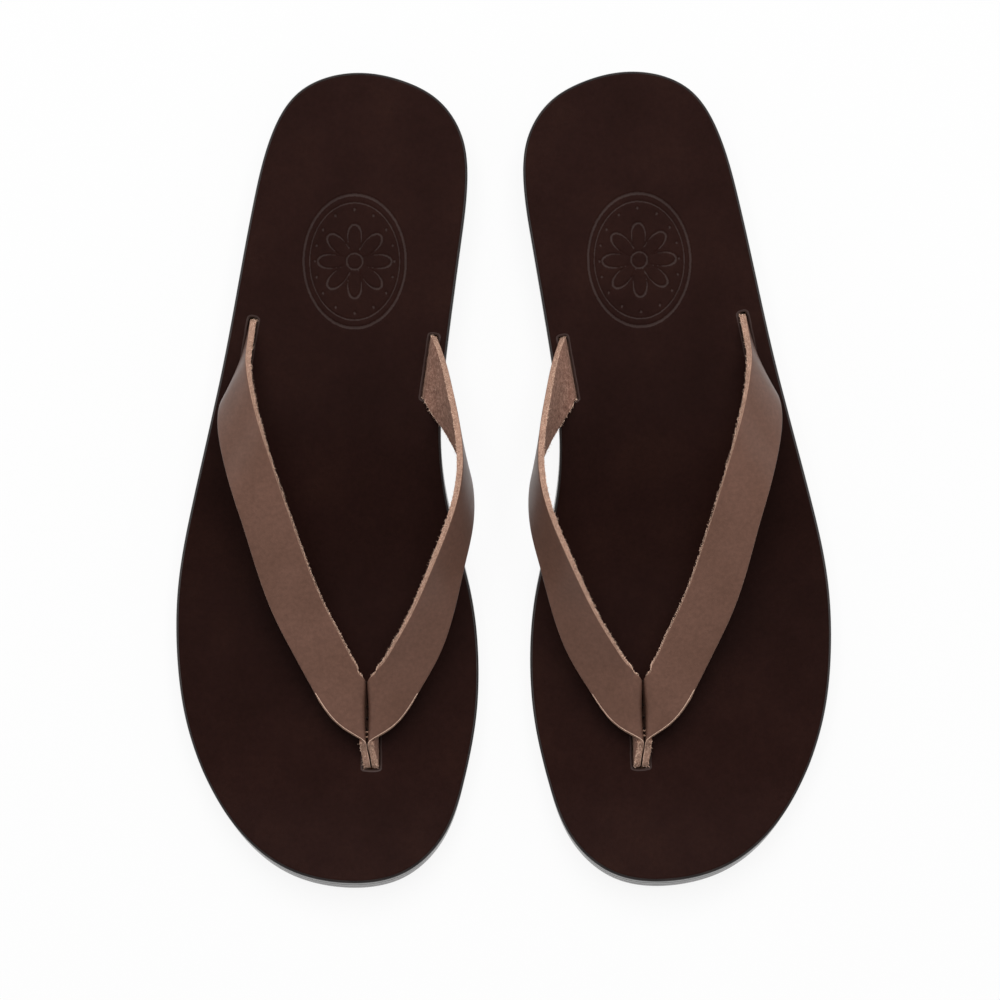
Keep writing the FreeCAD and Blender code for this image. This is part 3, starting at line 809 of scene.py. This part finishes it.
def waved_grooves(x, y, ring, clear=True):
    """Depths of shallow waved grooves inside a ring's plain border, where clear allows them."""
    phase = (y + GROOVE_WAVE * np.sin(x / 3.4)) % GROOVE_PITCH
    gap = np.abs(phase - GROOVE_PITCH / 2)
    share = 1 / (1 + np.exp((gap - HALF_GROOVE) / 0.12))
    within = inside(np.stack([x, y], axis=1), inset_ring(ring, PLAIN_BORDER))
    return GROOVE_DEPTH * share * (within & clear)


def tread_ribs(x, y):
    """The grooves of the forefoot tread."""
    return waved_grooves(x, y, TREAD_RING)


def heel_ribs(x, y):
    """The same grooves on the heel's top piece, kept clear of its nails."""
    clear = np.ones(len(x), bool)
    for nail_x, nail_y in HEEL_NAILS:
        clear &= np.hypot(x - nail_x, y - nail_y) > 3.2
    return waved_grooves(x, y, HEEL_RING, clear)


OUTLINE = anticlockwise(sole_outline(430))
TREAD_RING = cut_outline(inset_ring(OUTLINE, TREAD_INSET), TREAD_REAR, False)
HEEL_RING = cut_outline(inset_ring(OUTLINE, HEEL_INSET), HEEL_FRONT, True)


# ---- materials
def srgb(red, green, blue):
    """A linear colour from display values of 0 to 255."""
    def linear(value):
        value = value / 255
        return value / 12.92 if value <= 0.04045 else ((value + 0.055) / 1.055) ** 2.4
    return (linear(red), linear(green), linear(blue), 1.0)


class Finish:
    """A procedural material, built up by its calls."""

    def __init__(self, title, **settings):
        self.material = bpy.data.materials.new(title)
        self.material.use_nodes = True
        self.tree = self.material.node_tree
        self.shader = self.tree.nodes["Principled BSDF"]
        for name, value in settings.items():
            self.shader.inputs[name.replace("_", " ")].default_value = value
        self.place = self.tree.nodes.new("ShaderNodeTexCoord").outputs["Object"]
        self.normal = None

    def link(self, output, socket):
        self.tree.links.new(output, socket)

    def node(self, kind, **inputs):
        """A new node whose inputs take sockets or values; a name has _ for each space."""
        node = self.tree.nodes.new("ShaderNode" + kind)
        for name, value in inputs.items():
            socket = node.inputs[name.replace("_", " ")]
            if isinstance(value, bpy.types.NodeSocket):
                self.link(value, socket)
            else:
                socket.default_value = value
        return node

    def stretched(self, stretch):
        return self.node("Mapping", Scale=stretch, Vector=self.place).outputs["Vector"]

    def noise(self, size_mm, detail=3.0, rough=0.55, stretch=(1, 1, 1), distortion=0.0):
        """Cloudy noise whose features are about size_mm wide."""
        return self.node("TexNoise", Scale=1 / (size_mm * MM), Detail=detail, Roughness=rough,
                         Distortion=distortion, Vector=self.stretched(stretch)).outputs["Fac"]

    def cells(self, size_mm, feature="DISTANCE_TO_EDGE"):
        """Leather cells about size_mm wide."""
        node = self.node("TexVoronoi", Scale=1 / (size_mm * MM), Vector=self.stretched((1, 1, 1)))
        node.feature = feature
        return node.outputs["Distance"]

    def place_along(self, axis):
        """The place along one axis, in metres."""
        return self.node("SeparateXYZ", Vector=self.place).outputs[axis]

    def spread(self, value, to_low, to_high, low=0.3, high=0.7):
        """A value rescaled from low and high to a new range, and kept in it."""
        return self.node("MapRange", From_Min=low, From_Max=high, To_Min=to_low, To_Max=to_high,
                         Value=value).outputs["Result"]

    def colours(self, value, stops):
        """A colour ramp over the value, as (position, colour) stops."""
        node = self.node("ValToRGB", Fac=value)
        ramp = node.color_ramp
        while len(ramp.elements) < len(stops):
            ramp.elements.new(0.5)
        for element, (position, colour) in zip(ramp.elements, stops):
            element.position = position
            element.color = colour
        return node.outputs["Color"]

    def multiply(self, first, second):
        """One colour times another colour or shade."""
        node = self.tree.nodes.new("ShaderNodeMix")
        node.data_type = "RGBA"
        node.blend_type = "MULTIPLY"
        node.inputs[0].default_value = 1.0
        self.link(first, node.inputs[6])
        self.link(second, node.inputs[7])
        return node.outputs[2]

    def bump(self, height, depth_mm, strength):
        """Adds relief; later calls ride on the earlier ones."""
        node = self.node("Bump", Distance=depth_mm * MM, Strength=strength, Height=height)
        if self.normal is not None:
            self.link(self.normal, node.inputs["Normal"])
        self.normal = node.outputs["Normal"]

    def done(self, colour, roughness):
        self.link(colour, self.shader.inputs["Base Color"])
        self.link(roughness, self.shader.inputs["Roughness"])
        if self.normal is not None:
            self.link(self.normal, self.shader.inputs["Normal"])
        return self.material


def tone_stops(*stops):
    """Ramp stops from (position, display red, green and blue)."""
    return [(position, srgb(*tone)) for position, *tone in stops]


def grain_leather(name, tones, roughness, specular, coat, relief=1.0, waist=1.0):
    """Smooth finished leather: cloudy dye, fine cells, scattered pores; waist darkens its middle as painted
    shade.
    """
    look = Finish(name, Specular_IOR_Level=specular, Coat_Weight=coat, Coat_Roughness=0.3)
    clouds = look.noise(22.0, 4.0, 0.6)
    fine = look.noise(1.3, 4.0, 0.65)
    stops = [(position, *tone) for position, tone in zip((0.3, 0.5, 0.72), tones)]
    colour = look.colours(clouds, tone_stops(*stops))
    colour = look.multiply(colour, look.spread(fine, 0.86, 1.12))
    # Painted shade: darker over the shank, where the straps and the slope shade the footbed.
    if waist < 1.0:
        along = look.spread(look.place_along("Y"), 0.0, 1.0, -0.09, 0.07)
        levels = ((0.0, 1.0), (0.35, waist), (0.7, waist), (1.0, 1.0))
        painted_shade = look.colours(along, [(position, (level, level, level, 1.0)) for position, level in levels])
        colour = look.multiply(colour, painted_shade)
    cells = look.cells(0.55)
    pores = look.cells(1.5, "F1")
    look.bump(clouds, 0.25, 0.25)
    look.bump(look.spread(cells, 0.0, 1.0, 0.0, 0.25), 0.02 * relief, 0.5)
    look.bump(look.spread(pores, 0.0, 1.0, 0.0, 0.16), 0.03 * relief, 0.35)
    look.bump(fine, 0.035 * relief, 0.35)
    return look.done(colour, look.spread(look.noise(6.0, 3.0), *roughness))


def layered(name, pattern, stops, roughness, relief, patches=None, patch_range=None, extra=None,
            reach=(0.3, 0.7), **settings):
    """A look whose colour, relief and roughness follow one noise pattern.

    relief is (depth in mm, strength) or None, patches a second noise that shades the first, and extra
    a finer noise with its own (depth, strength).
    """
    look = Finish(name, **settings)
    main = look.noise(*pattern)
    colour = look.colours(main, tone_stops(*stops))
    if patches:
        colour = look.multiply(colour, look.spread(look.noise(*patches), *patch_range))
    if relief:
        look.bump(main, *relief)
    if extra:
        fine, depth, strength = extra
        look.bump(look.noise(*fine), depth, strength)
    return look.done(colour, look.spread(main, *roughness, *reach))


EVEN = (1, 1, 1)
PALEST_FIBRE = (255, 218, 194)


def raw_edge(name, lift):
    """Undyed fibres of a cut edge; lift takes them towards the palest ones."""
    tones = ((0.28, 112, 82, 69), (0.45, 154, 121, 104), (0.62, 176, 144, 126), (0.8, 200, 170, 152))
    stops = [(position, *(level + lift * (top - level) for level, top in zip(tone, PALEST_FIBRE)))
             for position, *tone in tones]
    return layered(name, (0.5, 4.0, 0.7, EVEN, 0.6), stops, (0.85, 1.0), (0.22, 0.8),
                   (3.2, 3.0, 0.6), (0.84, 1.08), ((0.17, 3.0, 0.7), 0.08, 0.6), Specular_IOR_Level=0.1)


def natural_leather(name, dark, light):
    """Firm undyed leather with a sparse fibre fleck and rubbing marks."""
    look = Finish(name, Specular_IOR_Level=0.35)
    clouds = look.noise(16.0, 5.0, 0.65)
    fleck = look.noise(0.8, 4.0, 0.7, (1, 0.35, 1))
    colour = look.colours(clouds, tone_stops((0.3, *dark), (0.7, *light)))
    colour = look.multiply(colour, look.spread(fleck, 0.82, 1.1))
    look.bump(fleck, 0.05, 0.5)
    look.bump(clouds, 0.2, 0.2)
    return look.done(colour, look.spread(fleck, 0.45, 0.68))


def metal(name, dark, light, least):
    """Bare metal with fine scratches and a little tarnish; least is its least roughness."""
    return layered(name, (1.1, 4.0, 0.7), ((0.35, *dark), (0.65, *light)), (least, least + 0.22), None,
                   extra=((0.2, 3.0, 0.6, (1, 6, 1)), 0.012, 0.4), Metallic=1.0)


def thread(name, *tones):
    """Waxed linen thread."""
    stops = [(position, *tone) for position, tone in zip((0.3, 0.6, 0.8), tones)]
    return layered(name, (0.16, 3.0, 0.6, (1, 1, 3)), stops, (0.5, 0.7), (0.05, 0.6),
                   Specular_IOR_Level=0.35, Sheen_Weight=0.1)


# The footbed's waist darkening is painted shade under and between the straps.
FOOTBED_LEATHER = grain_leather("footbed_leather", ((30, 15, 12), (33, 17, 14), (37, 20, 16)),
                                (0.44, 0.54), 0.03, 0.08, waist=0.8)
STRAP_LEATHER = grain_leather("strap_leather", ((92, 66, 55), (97, 70, 59), (102, 74, 63)),
                              (0.42, 0.52), 0.12, 0.3, relief=0.8)
# Lighter than the footbed leather: painted highlight on the rounded slot rims and their walls.
SLOT_RIM_HIGHLIGHT = grain_leather("slot_rim_painted_highlight", ((44, 31, 28), (52, 39, 36), (62, 48, 45)),
                         (0.36, 0.5), 0.3, 0.3, relief=1.4)
# A lighter copy of the footbed leather: painted highlight along the pressed lines.
PRESSED_LINE_HIGHLIGHT = grain_leather("pressed_lines_painted_highlight", ((42, 29, 27), (47, 34, 31), (53, 39, 36)),
                              (0.3, 0.42), 0.2, 0.2)
RAW_EDGE = raw_edge("raw_cut_edge", 0.0)
# Paler fibres, for the loose fibres and for the painted highlight along the strap's lower edge near the toe.
PALE_FIBRES_AND_HIGHLIGHT = raw_edge("pale_fibres_and_painted_highlight", 0.7)
SUEDE = layered("flesh_suede", (1.0, 5.0, 0.75, EVEN, 0.8),
                ((0.34, 84, 55, 46), (0.5, 124, 90, 77), (0.66, 164, 130, 115)), (0.9, 1.0), (0.2, 0.75),
                (4.5, 3.0, 0.6, (1, 1, 0.4)), (0.86, 1.12), ((0.2, 3.0, 0.7), 0.07, 0.5),
                Specular_IOR_Level=0.15, Sheen_Weight=0.25, Sheen_Roughness=0.6,
                Sheen_Tint=srgb(205, 170, 150))
EDGE_PAINT = layered("burnished_edge_paint", (1.6, 4.0, 0.6, (0.25, 0.25, 3.0)),
                     ((0.3, 26, 22, 22), (0.55, 36, 31, 30), (0.75, 50, 43, 41)), (0.24, 0.4), (0.05, 0.5),
                     extra=((0.5, 3.0), 0.02, 0.4), Specular_IOR_Level=0.4, Coat_Weight=0.25,
                     Coat_Roughness=0.2)
MIDSOLE_BOARD = layered("midsole_fibre_board", (0.6, 5.0, 0.75),
                        ((0.3, 92, 66, 48), (0.55, 122, 90, 66), (0.75, 150, 116, 88)), (0.8, 0.95),
                        (0.06, 0.6), (9.0, 3.0), (0.88, 1.08), Specular_IOR_Level=0.2)
OUTSOLE_LEATHER = natural_leather("outsole_leather", (128, 88, 60), (156, 112, 78))
HEEL_LEATHER = natural_leather("heel_leather", (112, 78, 54), (140, 100, 70))
RUBBER = layered("sole_rubber_black", (7.0, 4.0, 0.65),
                 ((0.35, 26, 25, 25), (0.6, 36, 34, 33), (0.8, 52, 49, 47)), (0.48, 0.78), None,
                 extra=((0.45, 2.0, 0.5), 0.05, 0.5), reach=(0.35, 0.75), Specular_IOR_Level=0.4)
BRASS = metal("tack_brass", (150, 110, 50), (214, 172, 96), 0.25)
STEEL = metal("nail_steel", (120, 118, 116), (186, 186, 188), 0.28)
THREAD_LOOK = thread("waxed_thread", (86, 62, 50), (134, 104, 86), (160, 128, 108))
# A darker copy of the waxed thread: painted shade for the thread deep in the seam.
SHADED_THREAD = thread("waxed_thread_painted_shade", (24, 14, 10), (34, 21, 16), (44, 29, 23))


# ---- putting pieces into the frame
SHARP_TURN = math.radians(50)


def to_frame(side, points):
    """Local millimetres to the frame's metres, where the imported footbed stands."""
    mirror, yaw = SIDES[side]
    turn = math.radians(yaw)
    rotation = np.array([[math.cos(turn), -math.sin(turn)], [math.sin(turn), math.cos(turn)]])
    outline = (OUTLINE * [mirror, 1.0]) @ rotation.T
    low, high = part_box(side + "_footbed")
    middle = (np.array(low[:2]) + np.array(high[:2])) / 2
    shift = middle / MM - (outline.min(axis=0) + outline.max(axis=0)) / 2
    flat = (points[:, :2] * [mirror, 1.0]) @ rotation.T + shift
    return np.column_stack([flat, points[:, 2]]) * MM


def add_piece(side, node, local, materials):
    """A finished mesh as the piece that stands for one CAD node."""
    faces = local.faces
    if SIDES[side][0] < 0:
        faces = [face[::-1] for face in faces]
    name = "%s_%s_look" % (side, node)
    mesh = bpy.data.meshes.new(name)
    mesh.from_pydata([tuple(p) for p in to_frame(side, np.array(local.points))], [], faces)
    for material in materials:
        mesh.materials.append(material)
    mesh.polygons.foreach_set("material_index", local.kinds)
    mesh.polygons.foreach_set("use_smooth", [True] * len(faces))
    mesh.set_sharp_from_angle(angle=SHARP_TURN)
    mesh.validate()
    piece = bpy.data.objects.new(name, mesh)
    bpy.context.scene.collection.objects.link(piece)
    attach(piece, side + "_sandal")
    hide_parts("%s_%s" % (side, node))


def layer_look(material):
    """The materials of a layer with a painted edge, by kind."""
    return [material, EDGE_PAINT, material, material]


def sole_pieces():
    """The layers of the sole and heel, as (node, mesh, materials, slot)."""
    slits = [slot_ring(LATERAL_SLOT, STRAP / 2 + 0.3, 0.7), slot_ring(MEDIAL_SLOT, STRAP / 2 + 0.3, 0.5),
             slot_ring(TOE_SLOT, STRAP + SEAM_GAP / 2 + 0.25, 0.4)]
    room = TAIL + 2.0
    recesses = [recess_ring(LATERAL_SLOT, -2.0, room), recess_ring(MEDIAL_SLOT, -room, 2.0),
                recess_ring(TOE_SLOT, -room - 2.0, room + 2.0)]
    pressed_patch = (ORNAMENT_MIDDLE - ORNAMENT_HALF - 2, ORNAMENT_MIDDLE + ORNAMENT_HALF + 2, 0.34)
    nail_holes = [circle_ring(x, y, 1.25) for x, y in HEEL_NAILS]
    tread_patch, heel_patch = ((ring.min(axis=0), ring.max(axis=0), 0.75) for ring in (TREAD_RING, HEEL_RING))
    footbed = slab(OUTLINE, MIDSOLE + OUTSOLE, STACK, on_sole, (0.35, 0.9, 1.5), slits, 0.8,
                   top_fine=pressed_patch, top_shape=ornament, top_over=2)
    midsole = slab(OUTLINE, OUTSOLE, MIDSOLE + OUTSOLE, on_sole, (0.16, 0.3), recesses)
    outsole = slab(OUTLINE, 0.0, OUTSOLE, on_sole, (0.6, 0.16))
    tread = slab(TREAD_RING, -TREAD, 0.0, on_sole, (0.35, 0.1), low_fine=tread_patch, low_shape=tread_ribs)
    lift = slab(HEEL_RING, TOP_PIECE, HEEL_SEAT, on_floor, (0.16, 0.16))
    top = slab(HEEL_RING, 0.0, TOP_PIECE, on_floor, (0.4, 0.16), nail_holes,
               low_fine=heel_patch, low_shape=heel_ribs)
    return [
        ("footbed", footbed, [FOOTBED_LEATHER, EDGE_PAINT, SLOT_RIM_HIGHLIGHT, OUTSOLE_LEATHER, PRESSED_LINE_HIGHLIGHT],
         "footbed_leather"),
        ("midsole", midsole, layer_look(MIDSOLE_BOARD), "midsole_board"),
        ("outsole", outsole, layer_look(OUTSOLE_LEATHER), "outsole_leather"),
        ("forefoot_tread", tread, [RUBBER], "sole_rubber"),
        ("heel_lift", lift, layer_look(HEEL_LEATHER), "heel_leather"),
        ("heel_top_piece", top, [RUBBER], "sole_rubber"),
    ]


def fastening_pieces():
    """The tacks, nails and stitches, as (node, mesh, materials, slot)."""
    rear_top = FOOTBED_TOP_AT_HEEL - FOOTBED - TAIL_CLEARANCE
    toe_top = FOOTBED_TOP_AT_BALL - FOOTBED - TAIL_CLEARANCE
    tails = {"lateral": [(LATERAL_SLOT, -STRAP / 2, 1.0, rear_top)],
             "medial": [(MEDIAL_SLOT, STRAP / 2, -1.0, rear_top)],
             "toe": [(TOE_SLOT, -SEAM_GAP / 2, -1.0, toe_top), (TOE_SLOT, SEAM_GAP / 2, 1.0, toe_top)]}
    tacks = [(end + "_tail_tacks", tail_tacks(places), [BRASS], "tack_brass")
             for end, places in tails.items()]
    return tacks + [
        ("heel_nails", heel_nails(), [STEEL], "nail_steel"),
        ("toe_seam_stitches", seam_stitches(), [THREAD_LOOK, SHADED_THREAD], "stitch_thread"),
    ]


shared = sole_pieces() + fastening_pieces()
for number, side in enumerate(SIDES):
    for node, local, materials, slot_name in shared:
        add_piece(side, node, local, materials)
    for lateral in (True, False):
        node = "lateral_strap" if lateral else "medial_strap"
        leather = strap_mesh(lateral, SEED + 2 * number + int(lateral))
        add_piece(side, node, leather, [STRAP_LEATHER, RAW_EDGE, SUEDE, PALE_FIBRES_AND_HIGHLIGHT])


# ---- floor, lights and camera
def plain_floor():
    """A wide pale floor that glows a little, so that shadows on it stay faint, and just clears the soles."""
    half, under = 4.0, -0.0001
    mesh = bpy.data.meshes.new("studio_floor")
    corners = [(-half, -half, under), (half, -half, under), (half, half, under), (-half, half, under)]
    mesh.from_pydata(corners, [], [(0, 1, 2, 3)])
    material = bpy.data.materials.new("pale_floor")
    material.use_nodes = True
    shader = material.node_tree.nodes["Principled BSDF"]
    shader.inputs["Base Color"].default_value = (0.08, 0.08, 0.08, 1)
    shader.inputs["Roughness"].default_value = 1.0
    shader.inputs["Specular IOR Level"].default_value = 0.0
    shader.inputs["Emission Color"].default_value = (1, 1, 1, 1)
    shader.inputs["Emission Strength"].default_value = 0.885
    mesh.materials.append(material)
    floor = bpy.data.objects.new("studio_floor", mesh)
    bpy.context.scene.collection.objects.link(floor)


def soft_light(name, place, width, height, power, mirrored):
    """A rectangular soft light that faces the middle of the pair."""
    light = bpy.data.lights.new(name, "AREA")
    light.shape = "RECTANGLE"
    light.size = width
    light.size_y = height
    light.energy = power
    lamp = bpy.data.objects.new(name, light)
    lamp.location = place
    lamp.rotation_euler = (-Vector(place)).to_track_quat("-Z", "Y").to_euler()
    lamp.visible_glossy = mirrored
    bpy.context.scene.collection.objects.link(lamp)


# Name, place, width and height in metres, watts, and whether surfaces mirror it.
SOFT_LIGHTS = [
    ("overhead_softbox", (0.0, 1.0, 2.2), 2.0, 2.0, 78.0, False),
    ("front_softbox", (0.0, -1.8, 0.9), 1.6, 0.9, 2.5, False),
    ("left_softbox", (-1.9, 0.1, 1.1), 1.4, 1.0, 4.0, True),
    ("right_softbox", (1.9, 0.1, 1.1), 1.4, 1.0, 4.0, True),
]

plain_floor()
for settings in SOFT_LIGHTS:
    soft_light(*settings)

world = bpy.data.worlds.new("studio")
world.use_nodes = True
background = world.node_tree.nodes["Background"]
background.inputs["Color"].default_value = (1, 1, 1, 1)
background.inputs["Strength"].default_value = 0.22
bpy.context.scene.world = world
bpy.context.scene.view_settings.view_transform = "Standard"

camera_data = bpy.data.cameras.new("photo_camera")
camera_data.sensor_width = 36.0
camera_data.lens = 198.8
camera = bpy.data.objects.new("photo_camera", camera_data)
camera.location = (-0.00116, -0.00624, 1.8)
camera.rotation_euler = (0.0, 0.0, 0.0)
bpy.context.scene.collection.objects.link(camera)
bpy.context.scene.camera = camera
